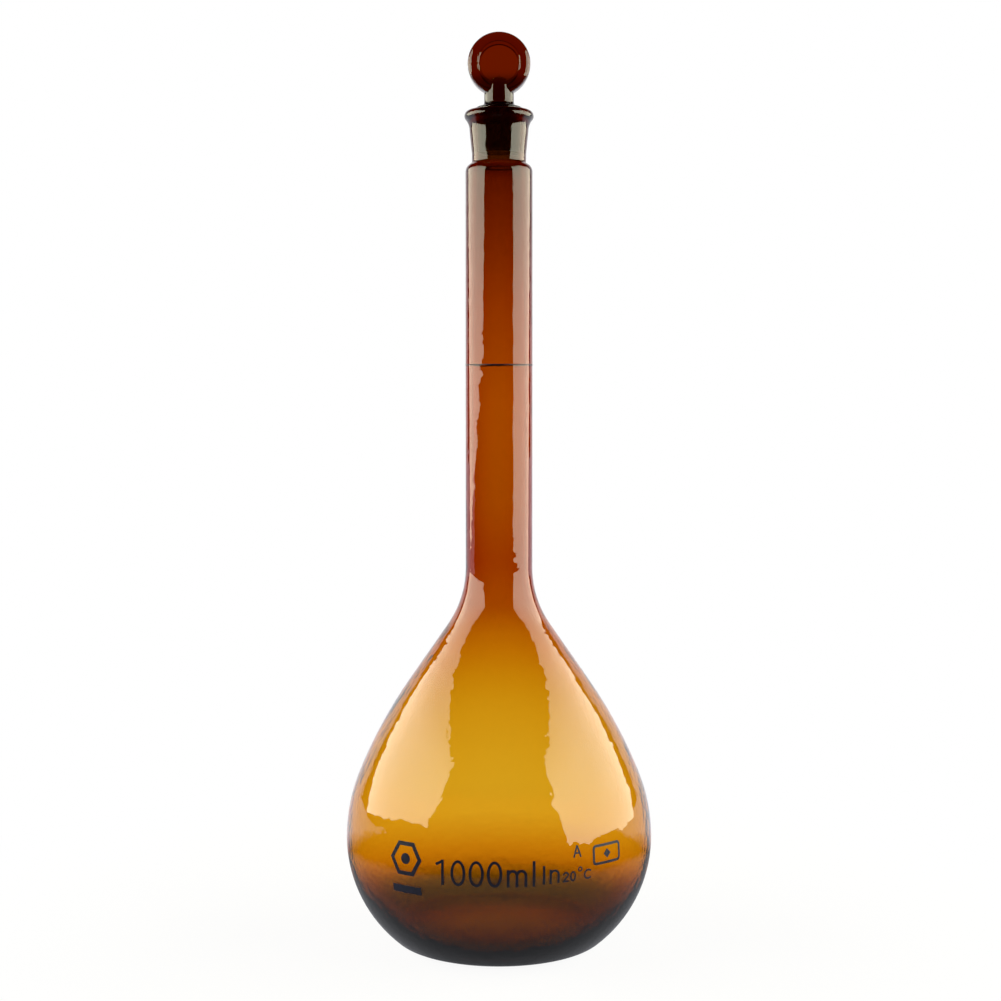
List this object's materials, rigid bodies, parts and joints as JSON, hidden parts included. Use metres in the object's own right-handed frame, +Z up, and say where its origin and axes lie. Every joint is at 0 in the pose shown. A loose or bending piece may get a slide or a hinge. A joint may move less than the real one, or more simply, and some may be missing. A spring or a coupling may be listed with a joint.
{
  "type": "volumetric flask",
  "caption": "One-litre volumetric flask of amber glass: round-shouldered bulb, long narrow neck with a graduation ring, ground joint and disc-headed glass stopper.",
  "frame": {"origin": "centre of the standing ring, on the surface the flask rests on", "axes": "+Z up along the flask's axis towards the stopper; -Y faces the printed marks and the flat face of the stopper head; +X to the right of the marks"},
  "size_m": [0.1244, 0.1245, 0.369],
  "materials": {
    "amber_glass": "clear, transparent brown",
    "enamel": "fired ceramic enamel, satin"
  },
  "bodies": {
    "flask": {"bulb": "amber_glass", "neck_tube": "amber_glass", "ground_socket": "amber_glass", "graduation_ring": "enamel", "capacity_mark": "enamel", "temperature_mark": "enamel", "class_mark": "enamel", "maker_mark": "enamel", "approval_mark": "enamel"},
    "stopper": {"stopper": "amber_glass"}
  },
  "joints": [
    {"name": "stopper_lift", "type": "slide", "parent": "flask", "child": "stopper", "axis": [0, 0, 1], "range_m": [0, 0.06]}
  ]
}
